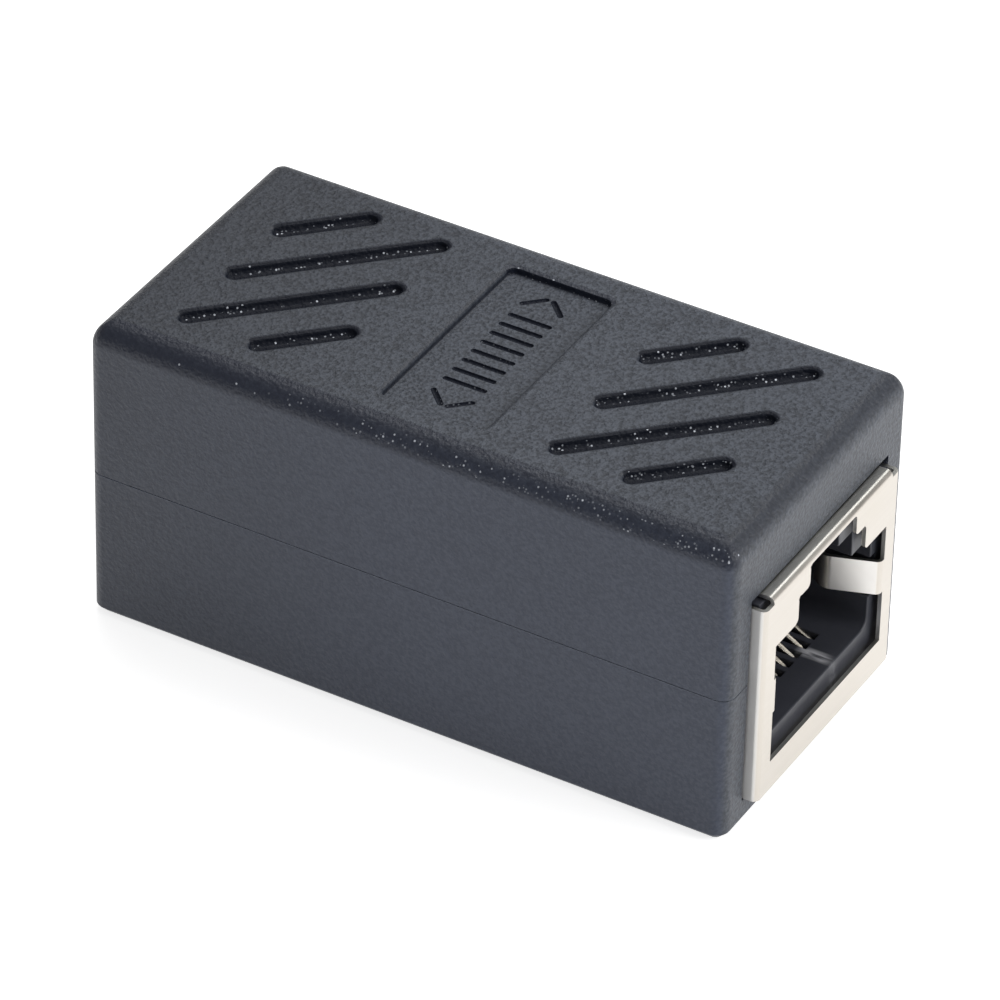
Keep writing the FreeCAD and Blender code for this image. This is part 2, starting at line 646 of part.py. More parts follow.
def build_housing(side):
    """The moulded body: stepped keyway, plug cavity, slotted floor and comb, posts for the board."""
    body = new_body(f"{side}_housing")

    def across_sketch(name, distance):
        return new_sketch(body, "YZ_Plane", f"{side}_housing_{name}", f"-({distance})")

    block = across_sketch("block", "housing_setback")
    add_outline(block, rectangle(mirrored_span(HOUSING_HALF), (HOUSING_BASE, HOUSING_TOP)))
    pad(body, block, "housing_depth - housing_setback", back=True)
    seat = across_sketch("seat", "housing_depth")
    add_outline(seat, rectangle(mirrored_span(HOUSING_HALF), (f"{HOUSING_TOP} - sheet", SHIELD_TOP)))
    pad(body, seat, "housing_depth - flange_depth - housing_clearance")

    keyway = across_sketch("keyway", "housing_setback")
    add_outline(keyway, stepped_outline(CAVITY_FLOOR, [
        ("cavity_width / 2", CAVITY_TOP), ("latch_width / 2", f"({CAVITY_TOP} + latch_step)"),
        ("latch_slot_width / 2", LATCH_TOP)]))
    pocket(body, keyway, "keyway_depth")
    cavity = across_sketch("cavity", "housing_setback")
    add_outline(cavity, rectangle(mirrored_span("cavity_width / 2"), (CAVITY_FLOOR, CAVITY_TOP)))
    pocket(body, cavity, "cavity_depth - housing_setback")
    latch = across_sketch("latch", "housing_setback + keyway_depth")
    add_outline(latch, rectangle(mirrored_span("latch_width / 2"), (f"{CAVITY_TOP} - sheet", LATCH_TOP)))
    pocket(body, latch, "latch_depth - housing_setback - keyway_depth")
    recess = across_sketch("spring_recess", "housing_setback")
    for sign in (-1, 1):
        add_outline(recess, rectangle((f"{sign} * (cavity_width / 2 - sheet)", f"{sign} * opening_width / 2"),
                                      ("shield_base + spring_base - sheet",
                                       "shield_base + spring_base + spring_height + sheet")))
    pocket(body, recess, "spring_recess_depth")

    comb = across_sketch("comb", "cavity_depth")
    add_outline(comb, rectangle(mirrored_span(f"{CONTACTS / 2 + 0.5} * contact_pitch"),
                                (f"{CAVITY_FLOOR} - sheet", f"{CAVITY_FLOOR} + comb_height")))
    pad(body, comb, "comb_thickness")
    slot = new_sketch(body, "XY_Plane", f"{side}_housing_slot", f"{CAVITY_FLOOR} + comb_height + sheet")
    first = f"{(1 - CONTACTS) / 2} * contact_pitch"
    add_outline(slot, rectangle(("-cavity_depth", "-slot_front"), span_about(first, "slot_width")))
    cut_slot = pocket(body, slot, "comb_height + sheet + floor_thickness + sheet")
    pattern = body.newObject("PartDesign::LinearPattern", f"{side}_housing_slots")
    pattern.Originals = [cut_slot]
    pattern.Direction = (slot, ["V_Axis"])
    pattern.Occurrences = CONTACTS
    bind(pattern, Length=f"{CONTACTS - 1} * contact_pitch")
    body.Tip = pattern

    passage = mirrored_span("carrier_width / 2 + carrier_clearance")
    channel = across_sketch("channel", "housing_depth")
    add_outline(channel, rectangle(passage, (f"{HOUSING_BASE} - {OVERRUN}", FLOOR_UNDERSIDE)))
    pocket(body, channel, "housing_depth - slot_front", forward=True)
    tab_seats = across_sketch("tab_seats", "housing_depth")
    for sign in (-1, 1):
        add_outline(tab_seats, rectangle((f"{sign} * ({COVER_HALF} - sheet - cover_clearance)",
                                          f"{sign} * ({HOUSING_HALF} + {OVERRUN})"),
                                         span_about(COVER_MIDDLE, "cover_tab_height + 2 * cover_clearance")))
    pocket(body, tab_seats, "housing_depth - shield_depth + sheet / 2 + cover_tab_length + cover_clearance",
           forward=True)
    chamber = new_sketch(body, "XY_Plane", f"{side}_housing_chamber", f"{SHIELD_TOP} + {OVERRUN}")
    add_outline(chamber, rectangle((f"-housing_depth - {OVERRUN}", "-chamber_front"), passage))
    pocket(body, chamber, f"shield_height + 2 * {OVERRUN}")

    posts = new_sketch(body, "XY_Plane", f"{side}_housing_posts", f"{SHIELD_TOP} - sheet")
    for sign in (-1, 1):
        add_circle(posts, "-post_distance", f"{sign} * post_spacing / 2", "post_diameter / 2")
    pad(body, posts, "board_clearance + board_thickness")
    floor, wall = number(CAVITY_FLOOR), number("cavity_width / 2")
    round_edges(body, "cavity_corner", lambda bound: near(bound.ZMin, floor) and near(bound.ZMax, floor)
                and near(abs(bound.YMin), wall) and near(bound.YMin, bound.YMax))
    return settle(body, side)


def contact_places():
    """Each contact's number, its place across the jack and the expression of its row's distance."""
    for count in range(CONTACTS):
        distance = "row_distance" if count % 2 == 0 else "(row_distance + row_pitch)"
        yield count + 1, f"{count - (CONTACTS - 1) / 2} * contact_pitch", distance


def build_carrier(side):
    """The block behind and under the cavity, with an L-shaped passage for each wire."""
    half_height, half_width = "(wire_thickness / 2 + wire_clearance)", "(wire_width / 2 + wire_clearance)"
    width = mirrored_span("carrier_width / 2")
    base = f"({HOUSING_BASE} + carrier_clearance / 2)"
    back = "-(housing_depth)"
    plate = box(f"{side}_carrier_plate", (back, "-carrier_front"), width,
                (base, f"{WIRE_LOW} + {half_height}"))
    block = box(f"{side}_carrier_block", (back, "-(chamber_front + carrier_clearance)"), width,
                (base, f"{SHIELD_TOP} - carrier_clearance"))
    passages = []
    for _, middle, distance in contact_places():
        across = (f"{middle} - {half_width}", f"{middle} + {half_width}")
        rear = f"-{distance} - {half_height}"
        low = f"{WIRE_LOW} - {half_height}"
        passages += [
            box("run", (rear, f"-carrier_front + {OVERRUN}"), across, (low, f"{WIRE_LOW} + {half_height}")),
            box("riser", (rear, f"-{distance} + {half_height}"), across, (low, f"{SHIELD_TOP} + {OVERRUN}")),
        ]
    carrier = cut(f"{side}_carrier", fuse(f"{side}_carrier_body", [plate, block]), passages)
    carrier.Label = f"{side}_contact_carrier"
    return settle(carrier, side)


def wire_path(name, distance):
    """The centre line of a wire, from the board down, forward under the floor, and up into the cavity."""
    fold = "(-fold_distance + fold_radius * tan(90 - spring_slope / 2))"
    knee_up = f"({WIRE_LOW} + ({fold} + knee_distance) * tan(spring_slope))"
    sketch = doc.addObject("Sketcher::SketchObject", name)
    sketch.Placement.Rotation = FreeCAD.Rotation(FreeCAD.Vector(1, 0, 0), 90)
    add_bent_path(sketch, [(f"-{distance}", PIN_TOP), (f"-{distance}", WIRE_LOW), (fold, WIRE_LOW),
                           ("-knee_distance", knee_up),
                           ("-tip_distance", f"{knee_up} + (tip_distance - knee_distance) * tan(tip_slope)")],
                  ["", "fold_radius", ""])
    section = doc.addObject("Part::Plane", f"{name}_section")
    bind(section, Length="wire_thickness", Width="wire_width", Placement__Base__z=PIN_TOP,
         Placement__Base__x=f"-{distance} - wire_thickness / 2", Placement__Base__y="-wire_width / 2")
    return sketch, section


def build_contacts(side, paths):
    for count, middle, distance in contact_places():
        path, section = paths[distance]
        wire = doc.addObject("Part::Sweep", f"{side}_contact_{count}")
        wire.Sections = [section]
        wire.Spine = (path, [f"Edge{edge}" for edge in range(1, len(path.Shape.Edges) + 1)])
        wire.Solid = True
        wire.Transition = "Right corner"
        settle(wire, side, middle)


def build_board():
    """The board that lies on both jacks, with holes for their pins and posts and notches for the shields."""
    blank = box("board_blank", mirrored_span("board_length / 2"), mirrored_span("board_width / 2"),
                (BOARD_BASE, BOARD_TOP))
    through = (f"{BOARD_BASE} - {OVERRUN}", f"{BOARD_TOP} + {OVERRUN}")
    tools = []
    for end in (-1, 1):
        for _, middle, distance in contact_places():
            tools.append(round_hole("pin_hole", "pin_hole / 2", f"{end} * ({FACE} - {distance})",
                                    f"{end} * {middle}", through, PIN_HOLE_SIDES))
        notch = span_about(f"{end} * ({FACE} - solder_pin_distance)",
                           "solder_pin_width + 2 * notch_clearance")
        for side in (-1, 1):
            tools.append(round_hole("post_hole", "post_hole / 2", f"{end} * ({FACE} - post_distance)",
                                    f"{side} * post_spacing / 2", through, POST_HOLE_SIDES))
            tools.append(box("pin_notch", notch, ordered(side, f"{FLANGE_INSIDE} - notch_clearance",
                                                         f"board_width / 2 + {OVERRUN}"), through))
    board = cut("circuit_board_solid", blank, tools)
    board.Label = "circuit_board"


build_shells()
wire_paths = {distance: wire_path(f"wire_path_{count}", distance)
              for count, _, distance in list(contact_places())[:2]}
doc.recompute()
for jack in ("right", "left"):
    build_shield(jack)
    build_rear_cover(jack)
    build_housing(jack)
    build_carrier(jack)
    build_contacts(jack, wire_paths)
build_board()
doc.recompute()

# Check every object, then write one file for each piece.
for thing in doc.Objects:
    if {"Invalid", "Error"} & set(thing.State):
        raise RuntimeError(f"{thing.Label} could not be made: {thing.State}")

PIECES = ["top_shell", "bottom_shell", "circuit_board"]
for jack in ("right", "left"):
    PIECES += [f"{jack}_{piece}" for piece in ("shield", "rear_cover", "housing", "contact_carrier")]
    PIECES += [f"{jack}_contact_{count}" for count in range(1, CONTACTS + 1)]

os.makedirs("parts", exist_ok=True)
for name in PIECES:
    shape = doc.getObjectsByLabel(name)[0].Shape
    if shape.isNull() or not shape.isValid() or len(shape.Solids) != 1:
        raise RuntimeError(f"{name} is not one valid solid")
    shape.exportStep(f"parts/{name}.step")
    print(name, round(shape.Volume, 2), "mm3")
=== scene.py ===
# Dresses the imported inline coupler: soft-edged grooves and recess, grained plastic, bright metal
# and a white floor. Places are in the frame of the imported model: +X out of the right socket, +Z up.
import json
import math
from types import SimpleNamespace

import bmesh
import bpy
from mathutils import Matrix, Vector
from mathutils.geometry import delaunay_2d_cdt

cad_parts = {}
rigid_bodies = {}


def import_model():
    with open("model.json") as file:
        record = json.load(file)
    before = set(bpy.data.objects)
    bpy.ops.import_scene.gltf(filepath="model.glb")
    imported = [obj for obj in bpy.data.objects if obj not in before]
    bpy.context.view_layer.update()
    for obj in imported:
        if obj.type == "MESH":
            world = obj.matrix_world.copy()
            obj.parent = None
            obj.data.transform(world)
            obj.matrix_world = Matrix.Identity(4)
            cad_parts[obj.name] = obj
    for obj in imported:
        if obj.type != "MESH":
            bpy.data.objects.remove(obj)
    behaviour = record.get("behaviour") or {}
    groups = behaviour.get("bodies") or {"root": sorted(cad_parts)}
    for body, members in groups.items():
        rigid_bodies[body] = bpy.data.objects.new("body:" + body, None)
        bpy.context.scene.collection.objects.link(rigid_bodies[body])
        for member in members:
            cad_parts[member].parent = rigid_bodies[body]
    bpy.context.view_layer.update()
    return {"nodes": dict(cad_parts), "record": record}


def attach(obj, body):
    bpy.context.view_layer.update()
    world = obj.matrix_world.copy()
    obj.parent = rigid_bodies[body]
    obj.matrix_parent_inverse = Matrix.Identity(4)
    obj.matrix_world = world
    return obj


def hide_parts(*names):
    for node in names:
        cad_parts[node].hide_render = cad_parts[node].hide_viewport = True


for default in list(bpy.data.objects):
    bpy.data.objects.remove(default)
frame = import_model()

MM = 0.001
JACKS = ("right", "left")
CONTACTS = 8

# The photograph's camera, in degrees and metres
VIEW_AZIMUTH = 29.23
VIEW_ELEVATION = 36.23
VIEW_ROLL = 1.43
VIEW_DISTANCE = 0.4192
VIEW_TARGET = Vector((0.000398, 0, 0.009745))
SENSOR = 36.0
FOCAL_OVER_SENSOR = 7.2948

# Lengths among the constants from here on are in millimetres. First the box: what is rebuilt of
# its roof lies less than the rebuilt depth under it, and corners closer than the weld are joined.
ROOF = 20.4
PARTING = 10.0
ROOF_HALF_X = 19.5
ROOF_HALF_Y = 8.85
REBUILT_DEPTH = 0.6
REBUILT_SLACK = 0.01
SHELL_EDGE = 0.05
WELD = 0.002

# The soft rim of the recess and grooves, and the steps in degrees of the rim and of a groove's bowl
RIM = 0.38
RIM_STEPS = (0, 30, 60, 90)
BOWL_STEPS = (15, 30, 45, 60, 75, 90)
BOWL_LEAST = 0.004

# The label recess and the foot of its wall
LABEL_HALF_X = 3.4
LABEL_HALF_Y = 7.4
LABEL_CORNER = 0.5
LABEL_CORNER_LEAST = 0.05
LABEL_CORNER_STEPS = 6
LABEL_DEPTH = 0.45
LABEL_FOOT = 0.15

# The grip grooves: a group of four on each side of the recess
GRIP_DISTANCE = 12.14
GRIP_HALF_X = 4.725
GRIP_HALF_Y = 7.55
GROOVE_LINES = (-1.5, -0.5, 0.5, 1.5)
GROOVE_PITCH = 3.62
GROOVE_RADIUS = 0.5
GROOVE_DEPTH = 0.5
GROOVE_SHIFT = 0.09
GROOVE_SHORTER = 0.12
GROOVE_STEPS = 14

# The engraved sign on the recess's floor
BAR_PITCH = 1.05
BAR_HALF = 1.25
CHEVRON_FOOT = 5.0
CHEVRON_TIP = 6.0
CHEVRON_GAP = 0.24
STROKE_RADIUS = 0.17
STROKE_DEPTH = 0.16
STROKE_RIM = 0.04
STROKE_STEPS = 6

# The stepped corners of the latch opening: where they are, how far they run through the sheet, and
# how round they become
OPENING_FRONT = 21.5
OPENING_HALF = 4.5
THROUGH_LEAST = 0.1
THROUGH_MOST = 0.3
OPENING_ROUND = 0.3

# Where finishes and painted light and shade change: the grooves' and the recess's reach from the
# middle, the gap between them, the foot of the roof's rounded edges, and the painted highlight where
# a plug rubs a socket's floor. The blur makes changes soft.
GRIPS_REACH_X = 17.75
GRIPS_REACH_Y = 8.75
LABEL_REACH_X = 3.65
BETWEEN_X = 4.05
ROUND_FOOT = 2.5
LEFT_END = -21
RUB_HIGHLIGHT_X = 20.1
RUB_HIGHLIGHT_Y = 2.0
CAVITY_FLOOR = 5.2
SHEET_INSIDE = 7.65
BLUR = 0.05

# The lights, and a floor a little under the base, so that the two don't share one plane
CAMERA_GLOW = 0.75
GLOSSY_GLOW = 0.75
WORLD_LIGHT = 0.28
FLOOR_HALF = 3000
FLOOR_DROP = 0.02


# Node helpers for materials

class Nodes:
    """A material's node tree, with short ways to add and join nodes."""

    def __init__(self, name):
        self.material = bpy.data.materials.new(name)
        self.material.use_nodes = True
        self.tree = self.material.node_tree
        self.tree.nodes.clear()
        self.output = self.add("ShaderNodeOutputMaterial")

    def add(self, kind, **settings):
        node = self.tree.nodes.new(kind)
        for name, value in settings.items():
            setattr(node, name, value)
        return node

    def join(self, source, target):
        self.tree.links.new(source, target)

    def put(self, socket, value):
        """Set a socket to a number or colour, or join it to another node's socket."""
        if isinstance(value, bpy.types.NodeSocket):
            self.join(value, socket)
        else:
            socket.default_value = value

    def place(self):
        """Coordinates in metres, in the model's own frame."""
        return self.add("ShaderNodeTexCoord").outputs["Object"]

    def axes(self, source):
        """The three components of a vector."""
        node = self.add("ShaderNodeSeparateXYZ")
        self.join(source, node.inputs[0])
        return node.outputs

    def facing(self):
        """The components of the surface's normal."""
        return self.axes(self.add("ShaderNodeNewGeometry").outputs["Normal"])

    def math(self, operation, first, second=0.0):
        node = self.add("ShaderNodeMath", operation=operation)
        self.put(node.inputs[0], first)
        self.put(node.inputs[1], second)
        return node.outputs[0]

    def absolute(self, value):
        return self.math("ABSOLUTE", value)

    def times(self, value, *factors):
        """The product of all the values given."""
        for factor in factors:
            value = self.math("MULTIPLY", value, factor)
        return value

    def noise(self, size, detail=2.0, roughness=0.5, stretch=None):
        """Noise whose features are about size across, in metres."""
        node = self.add("ShaderNodeTexNoise")
        place = self.place()
        if stretch:
            mapping = self.add("ShaderNodeMapping")
            mapping.inputs["Scale"].default_value = stretch
            self.join(place, mapping.inputs["Vector"])
            place = mapping.outputs["Vector"]
        self.join(place, node.inputs["Vector"])
        node.inputs["Scale"].default_value = 1 / size
        node.inputs["Detail"].default_value = detail
        node.inputs["Roughness"].default_value = roughness
        return node.outputs["Fac"]

    def cells(self, size):
        """A cell pattern: the distance to the nearest cell's middle in cell sizes, and the cell's
        own colour."""
        node = self.add("ShaderNodeTexVoronoi")
        self.join(self.place(), node.inputs["Vector"])
        node.inputs["Scale"].default_value = 1 / size
        return node.outputs

    def ramp(self, value, low, high, low_to=0.0, high_to=1.0):
        """Map a value from low..high to low_to..high_to, clamped."""
        node = self.add("ShaderNodeMapRange")
        ends = {"From Min": low, "From Max": high, "To Min": low_to, "To Max": high_to}
        for name, number in ends.items():
            self.put(node.inputs[name], number)
        self.put(node.inputs["Value"], value)
        return node.outputs["Result"]

    def fall(self, value, low, high):
        """1 up to low, and 0 from high on."""
        return self.ramp(value, low, high, 1.0, 0.0)

    def within(self, place, limit):
        """1 where a coordinate lies within a limit on both sides of the middle, in millimetres."""
        return self.fall(self.absolute(place), (limit - BLUR) * MM, (limit + BLUR) * MM)

    def blend(self, factor, first, second):
        """A mix of two colours. Sockets 6 and 7 of the node are the colours, output 2 the mix."""
        node = self.add("ShaderNodeMix", data_type="RGBA")
        self.put(node.inputs["Factor"], factor)
        self.put(node.inputs[6], first)
        self.put(node.inputs[7], second)
        return node.outputs[2]

    def bump(self, height, depth, strength):
        """A bump of the given depth in metres for a height of 0 to 1."""
        node = self.add("ShaderNodeBump")
        node.inputs["Distance"].default_value = depth
        self.put(node.inputs["Strength"], strength)
        self.put(node.inputs["Height"], height)
        return node.outputs["Normal"]

    def surface(self, **inputs):
        """The principled shader, with inputs named by its sockets. Underscores stand for spaces."""
        shader = self.add("ShaderNodeBsdfPrincipled")
        for name, value in inputs.items():
            self.put(shader.inputs[name.replace("_", " ")], value)
        self.join(shader.outputs[0], self.output.inputs["Surface"])
        return self.material


# Materials

SHELL_DARK = (0.030, 0.035, 0.046, 1)
SHELL_PALE = (0.080, 0.091, 0.114, 1)
# Painted bluish sheen on the long sides
FLANK_SHEEN_BLUE = (0.042, 0.058, 0.112, 1)
# Painted shade towards the left end
LEFT_END_SHADE = (0.008, 0.009, 0.014, 1)
# Painted shade on the roof's rounded end edges
END_EDGE_SHADE = (0.014, 0.017, 0.027, 1)
# Painted shade on the roof's rounded long edge
LONG_EDGE_SHADE = (0.013, 0.017, 0.034, 1)
# Painted shade in the grooves and on the recess's walls
GROOVE_SHADE = (0.005, 0.007, 0.014, 1)
# Painted light on the seam between the shells
SEAM_PAINTED_LIGHT = (0.24, 0.26, 0.32, 1)
# Painted highlight on glinting grains
GLINT_WHITE = (0.78, 0.82, 0.90, 1)
# Painted highlight where a plug rubs the cavity's floor
RUB_HIGHLIGHT_PALE = (0.80, 0.80, 0.84, 1)
# Painted light on the sheet's sides
SIDE_LIT_SILVER = (0.93, 0.92, 0.90, 1)
# Painted reflection on the sheet's upper fold
FOLD_REFLECTION_GREY = (0.60, 0.60, 0.56, 1)


def shell_masks(n):
    """Factors of 0 to 1 that pick out the places of a shell, and its X coordinate."""
    x, y, z = n.axes(n.place())
    nx, ny, nz = n.facing()
    depth = n.math("SUBTRACT", ROOF, n.math("DIVIDE", z, MM))
    mask = SimpleNamespace(x=x)
    mask.roof = n.ramp(nz, 0.93, 0.995)
    mask.flank = n.ramp(n.absolute(ny), 0.50, 0.80)

    near_roof = n.fall(depth, ROUND_FOOT - 0.1, ROUND_FOOT + 0.1)
    mask.long_edge = n.times(n.ramp(ny, -0.04, -0.12), n.ramp(nz, 0.04, 0.24), near_roof)
    mask.end_edge = n.times(n.ramp(n.absolute(nx), 0.10, 0.30), n.ramp(nz, 0.30, 0.60), near_roof)
    from_parting = n.absolute(n.math("SUBTRACT", depth, ROOF - PARTING))
    mask.seam = n.times(n.fall(from_parting, 0.05, 0.08), n.ramp(n.absolute(nz), 0.10, 0.30),
                        n.fall(n.absolute(nx), 0.10, 0.35))

    faces_front = n.ramp(ny, -0.03, -0.10)
    sunk = n.math("MAXIMUM", n.times(n.ramp(depth, 0.003, 0.03), faces_front),
                  n.ramp(depth, 0.12, 0.30))
    label_floor = n.times(n.within(x, LABEL_REACH_X), n.ramp(nz, 0.7, 0.9),
                          n.fall(depth, LABEL_DEPTH + 0.02, LABEL_DEPTH + 0.05))
    on_roof = n.times(n.within(x, GRIPS_REACH_X), n.within(y, GRIPS_REACH_Y))
    mask.groove = n.times(sunk, n.fall(depth, GROOVE_DEPTH + 0.20, GROOVE_DEPTH + 0.25),
                          n.math("SUBTRACT", 1.0, label_floor), on_roof)
    # How deep the painted shade is: deeper in the grooves, lighter in the recess
    mask.groove_black = n.times(mask.groove, n.ramp(n.within(x, BETWEEN_X), 0, 1, 0.95, 0.70))

    mask.low_row = n.times(n.ramp(depth, 0.345, 0.355), n.fall(depth, 0.445, 0.455), faces_front,
                           mask.groove)
    mask.rim_row = n.times(n.ramp(depth, 0.05, 0.07), n.fall(depth, 0.14, 0.16), faces_front,
                           on_roof)
    mask.edge_row = n.times(n.ramp(nz, 0.24, 0.36), n.fall(nz, 0.72, 0.86), mask.long_edge)
    return mask


def glints(n, mask):
    """Painted highlights on polished grains: scattered along the roof's long edge, more of them to
    the right, and in rows low and high on the walls of the grooves that face the front."""
    grain = n.cells(0.21 * MM)
    random, shine, _ = n.axes(grain["Color"])
    limit = n.ramp(mask.edge_row, 0.3, 0.6, 1.01, n.ramp(mask.x, -13 * MM, 10 * MM, 0.96, 0.42))
    limit = n.ramp(mask.rim_row, 0.4, 0.6, limit, 0.86)
    limit = n.ramp(mask.low_row, 0.4, 0.6, limit, 0.12)
    return n.times(n.math("GREATER_THAN", random, limit), n.fall(grain["Distance"], 0.18, 0.38),
                   n.math("POWER", shine, 1.5))


def shell_plastic():
    """Black moulded plastic with an eroded grain: wrinkled on the roof and finer on the long sides.
    Light
    and shade are painted into its colour: a bluish sheen on the long sides, shade at the left end, on
    the roof's rounded edges and in the grooves, light on the seam, and highlights on glinting grains."""
    n = Nodes("shell_plastic")
    mask = shell_masks(n)
    wrinkle = n.noise(0.25 * MM, detail=2.5, roughness=0.55)
    pits = n.ramp(wrinkle, 0.38, 0.62)
    mottle = n.noise(1.1 * MM, detail=4.0, roughness=0.6)
    broad = n.noise(9 * MM)
    tone = n.math("ADD", n.times(mottle, 0.35), n.times(broad, 0.30))
    tone = n.math("ADD", tone, n.times(pits, n.ramp(mask.roof, 0, 1, 0.50, 0.60)))
    colour = n.blend(n.ramp(tone, 0.25, 0.85), SHELL_DARK, SHELL_PALE)
    # Painted bluish sheen on the long sides
    colour = n.blend(n.times(mask.flank, 0.45), colour, FLANK_SHEEN_BLUE)
    # Painted shade, deepening towards the left end
    colour = n.blend(n.ramp(mask.x, LEFT_END * MM, -1 * MM, 0.45, 0.0), colour, LEFT_END_SHADE)
    # Painted shade on the roof's rounded end edges
    colour = n.blend(n.times(mask.end_edge, 0.60), colour, END_EDGE_SHADE)
    # Painted light on the bevels at the seam between the shells, which makes the groove there fainter
    colour = n.blend(n.times(mask.seam, 0.9), colour, SEAM_PAINTED_LIGHT)
    # Painted shade on the roof's rounded long edge, lighter to the right and varying with the grain
    edge_shade = n.times(n.ramp(mask.x, -10 * MM, 12 * MM, 0.84, 0.68), n.ramp(pits, 0, 1, 1.0, 0.80))
    colour = n.blend(n.times(mask.long_edge, edge_shade), colour, LONG_EDGE_SHADE)
    # Painted shade in the grooves and on the recess's walls
    colour = n.blend(mask.groove_black, colour, GROOVE_SHADE)
    # Painted highlights on polished grains
    glint = glints(n, mask)
    colour = n.blend(glint, colour, GLINT_WHITE)
    rough = n.ramp(glint, 0, 1, n.ramp(mask.roof, 0, 1, 0.46, 0.58), 0.30)
    pebble = n.cells(0.22 * MM)["Distance"]
    height = n.math("ADD", wrinkle, n.times(pebble, 0.3))
    normal = n.bump(height, 0.14 * MM, strength=n.ramp(mask.roof, 0, 1, 0.40, 1.0))
    return n.surface(Base_Color=colour, Roughness=rough, Normal=normal,
                     Specular_IOR_Level=n.ramp(mask.groove, 0, 1, 0.50, 0.16))


def jack_plastic():
    """Satin black plastic inside the sockets, with flow marks, and a pale streak painted on the
    cavity's
    floor: a painted highlight where a plug rubs it."""
    n = Nodes("jack_plastic")
    x, y, z = n.axes(n.place())
    cloud = n.noise(2 * MM, detail=4.0)
    colour = n.blend(cloud, (0.040, 0.042, 0.053, 1), (0.060, 0.063, 0.077, 1))
    streaks = n.ramp(n.noise(0.5 * MM, detail=3.0, stretch=(0.18, 1.0, 1.0)), 0.36, 0.58)
    # Painted highlight in a streak where a plug rubs the cavity's floor
    aside = n.absolute(n.math("SUBTRACT", n.times(y, n.math("SIGN", x)), RUB_HIGHLIGHT_Y * MM))
    inwards = n.absolute(n.math("SUBTRACT", n.absolute(x), RUB_HIGHLIGHT_X * MM))
    rub_highlight = n.times(n.fall(aside, 0.15 * MM, 0.55 * MM), n.fall(inwards, 0.5 * MM, 1.3 * MM),
                    n.fall(z, CAVITY_FLOOR * MM, (CAVITY_FLOOR + 0.1) * MM), streaks)
    colour = n.blend(n.times(rub_highlight, 0.9), colour, RUB_HIGHLIGHT_PALE)
    flow = n.noise(0.9 * MM, detail=4.0, stretch=(0.25, 1.0, 1.0))
    rough = n.ramp(flow, 0.35, 0.70, 0.29, 0.42)
    normal = n.bump(n.noise(0.7 * MM, detail=3.0), 0.02 * MM, strength=0.4)
    return n.surface(Base_Color=colour, Roughness=rough, Normal=normal, Specular_IOR_Level=0.25)


def plated_steel():
    """Nickel on sheet steel: warm, with rolling marks and smudges, with painted light that makes the
    sides brighter, duller on the outer ones, and a painted reflection that makes the upper fold a
    little greyer."""
    n = Nodes("plated_steel")
    _, y, _ = n.axes(n.place())
    _, ny, nz = n.facing()
    smudge = n.noise(4 * MM, detail=4.0)
    lines = n.noise(0.22 * MM, detail=3.0, stretch=(1.0, 0.05, 1.0))
    colour = n.blend(smudge, (0.570, 0.530, 0.470, 1), (0.645, 0.610, 0.565, 1))
    # Painted light on the sheet's sides
    side = n.times(n.ramp(n.absolute(ny), 0.80, 0.98), n.ramp(smudge, 0.3, 0.7, 0.8, 1.0))
    colour = n.blend(side, colour, SIDE_LIT_SILVER)
    # Painted reflection, greyer, on the sheet's upper fold
    colour = n.blend(n.times(n.ramp(nz, 0.80, 0.98), 0.8), colour, FOLD_REFLECTION_GREY)
    rough = n.math("ADD", n.ramp(smudge, 0.3, 0.7, 0.29, 0.36), n.ramp(lines, 0.3, 0.7, 0.0, 0.06))
    normal = n.bump(lines, 0.006 * MM, strength=0.3)
    outer_side = n.times(side, n.math("SUBTRACT", 1.0, n.within(y, SHEET_INSIDE)))
    metallic = n.ramp(outer_side, 0, 1, 1.0, 0.30)
    return n.surface(Base_Color=colour, Metallic=metallic, Roughness=rough, Normal=normal)


def contact_metal():
    """Plated spring wire, drawn lengthways and a little tarnished."""
    n = Nodes("contact_metal")
    tarnish = n.noise(1.2 * MM, detail=3.0)
    colour = n.blend(tarnish, (0.84, 0.76, 0.62, 1), (0.94, 0.91, 0.85, 1))
    rough = n.ramp(tarnish, 0.3, 0.7, 0.16, 0.26)
    drawn = n.noise(0.2 * MM, stretch=(0.1, 1.0, 0.1))
    normal = n.bump(drawn, 0.006 * MM, strength=0.4)
    return n.surface(Base_Color=colour, Metallic=1.0, Roughness=rough, Normal=normal)


def board_laminate():
    """Green solder mask with the weave of the laminate under it."""
    n = Nodes("board_laminate")
    weave = n.cells(0.6 * MM)["Distance"]
    colour = n.blend(weave, (0.012, 0.085, 0.040, 1), (0.020, 0.120, 0.055, 1))
    normal = n.bump(weave, 0.02 * MM, strength=0.3)
    return n.surface(Base_Color=colour, Roughness=0.35, Normal=normal)


MATERIALS = {
    "shell_plastic": shell_plastic(),
    "jack_plastic": jack_plastic(),
    "plated_steel": plated_steel(),
    "contact_metal": contact_metal(),
    "board": board_laminate(),
}
SLOT_OF = {part["node"]: part["material_slot"] for part in frame["record"]["subparts"]}


# The roof of the top shell

def arc(middle, radius, start, end, steps):
    """Points on an arc in the plane of the roof, with angles in degrees."""
    angles = [math.radians(start + (end - start) * step / steps) for step in range(steps + 1)]
    return [(middle[0] + radius * math.cos(angle), middle[1] + radius * math.sin(angle))
            for angle in angles]


def stadium(start, end, radius, steps):
    """An outline round a line, with a half circle at each end."""
    heading = math.degrees(math.atan2(end[1] - start[1], end[0] - start[0]))
    return (arc(end, radius, heading - 90, heading + 90, steps)
            + arc(start, radius, heading + 90, heading + 270, steps))


